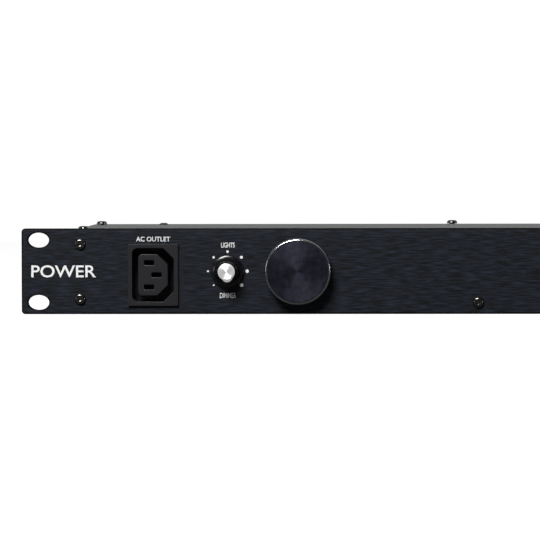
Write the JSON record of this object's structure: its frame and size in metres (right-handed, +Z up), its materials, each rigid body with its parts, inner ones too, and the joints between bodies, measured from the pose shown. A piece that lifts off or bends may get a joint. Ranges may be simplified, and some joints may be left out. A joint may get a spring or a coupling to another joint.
{
  "type": "rack power strip",
  "caption": "One-unit rack power conditioner: front panel with mains outlet, lamp dimmer knob and round pull-out lamps, over a shallow steel case with outlets at the rear.",
  "frame": {"origin": "centre of the bounding box in plan, at the lower edge of the front panel, which is the lowest point", "axes": "+X to the right seen from the front, +Y from the front panel towards the rear, +Z up"},
  "size_m": [0.4826, 0.1768, 0.0446],
  "materials": {
    "panel_black": "black anodised, brushed along its length",
    "case_grey": "dark powder coat with a fine texture",
    "screw_black": "black oxide",
    "outlet_plastic": "black moulded thermoplastic",
    "knob_plastic": "black moulded plastic",
    "spun_aluminium": "bright spun",
    "brass": "bare",
    "steel": "zinc plated",
    "cap_black": "black anodised, turned",
    "tube_black": "black anodised, turned",
    "lens_frosted": "frosted clear",
    "board_green": "glass fibre board with solder mask",
    "nylon_black": "black nylon",
    "rocker_red": "translucent red",
    "button_white": "white",
    "indicator_green": "translucent green",
    "copper": "enamelled copper wire",
    "capacitor_yellow": "yellow moulded case",
    "varistor_blue": "blue epoxy",
    "lead_brown": "brown insulation",
    "lead_blue": "blue insulation",
    "lead_green": "green and yellow insulation"
  },
  "bodies": {
    "chassis": {"front_panel": "panel_black", "chassis_tray": "case_grey", "top_cover": "case_grey", "panel_screw_upper_left": "screw_black", "panel_screw_upper_right": "screw_black", "panel_screw_lower_left": "screw_black", "panel_screw_lower_right": "screw_black", "panel_screw_centre": "screw_black", "cover_screw_front_left": "screw_black", "cover_screw_front_right": "screw_black", "cover_screw_rear_left": "screw_black", "cover_screw_rear_right": "screw_black", "cover_screw_centre": "screw_black", "front_outlet": "outlet_plastic", "outlet_contact_live": "brass", "outlet_contact_neutral": "brass", "outlet_contact_earth": "brass", "dimmer_nut": "steel", "dimmer_potentiometer": "nylon_black", "left_lamp_guide": "nylon_black", "right_lamp_guide": "nylon_black", "power_switch_housing": "knob_plastic", "breaker_body": "nylon_black", "breaker_nut": "steel", "indicator_lens": "indicator_green", "inlet_housing": "outlet_plastic", "inlet_pin_live": "brass", "inlet_pin_neutral": "brass", "inlet_pin_earth": "brass", "rear_outlets_left": "outlet_plastic", "rear_outlets_right": "outlet_plastic", "bus_bar_live": "brass", "bus_bar_neutral": "brass", "bus_bar_earth": "brass", "earth_stud": "brass", "filter_board": "board_green", "filter_choke": "copper", "filter_capacitor": "capacitor_yellow", "surge_varistor": "varistor_blue", "lamp_transformer": "steel", "live_lead": "lead_brown", "neutral_lead": "lead_blue", "earth_lead": "lead_green"},
    "dimmer": {"dimmer_knob": "knob_plastic", "dimmer_inlay": "spun_aluminium", "dimmer_shaft": "steel"},
    "left_carriage": {"left_lamp_carriage": "nylon_black"},
    "right_carriage": {"right_lamp_carriage": "nylon_black"},
    "left_lamp": {"left_lamp_cap": "cap_black", "left_lamp_tube": "tube_black", "left_lamp_lens": "lens_frosted", "left_lamp_led_board": "board_green", "left_lamp_end_plug": "nylon_black"},
    "right_lamp": {"right_lamp_cap": "cap_black", "right_lamp_tube": "tube_black", "right_lamp_lens": "lens_frosted", "right_lamp_led_board": "board_green", "right_lamp_end_plug": "nylon_black"},
    "switch_rocker": {"power_switch_rocker": "rocker_red"},
    "reset_button": {"breaker_button": "button_white"}
  },
  "joints": [
    {"name": "dimmer_turn", "type": "hinge", "parent": "chassis", "child": "dimmer", "pos_m": [-0.1362, -0.07525, 0.02183], "axis": [0, -1, 0], "range_deg": [0, 300]},
    {"name": "left_lamp_slide", "type": "slide", "parent": "chassis", "child": "left_carriage", "axis": [0, -1, 0], "range_m": [0, 0.095]},
    {"name": "left_lamp_turn", "type": "hinge", "parent": "left_carriage", "child": "left_lamp", "pos_m": [-0.1002, -0.07205, 0.02183], "axis": [0, -1, 0], "range_deg": [-90, 90]},
    {"name": "right_lamp_slide", "type": "slide", "parent": "chassis", "child": "right_carriage", "axis": [0, -1, 0], "range_m": [0, 0.095]},
    {"name": "right_lamp_turn", "type": "hinge", "parent": "right_carriage", "child": "right_lamp", "pos_m": [0.1002, -0.07205, 0.02183], "axis": [0, -1, 0], "range_deg": [-90, 90]},
    {"name": "power_switch_tilt", "type": "hinge", "parent": "chassis", "child": "switch_rocker", "pos_m": [0.1741, -0.07225, 0.02003], "axis": [1, 0, 0], "range_deg": [-16, 0]},
    {"name": "breaker_reset", "type": "slide", "parent": "chassis", "child": "reset_button", "axis": [0, -1, 0], "range_m": [0, 0.003]}
  ]
}
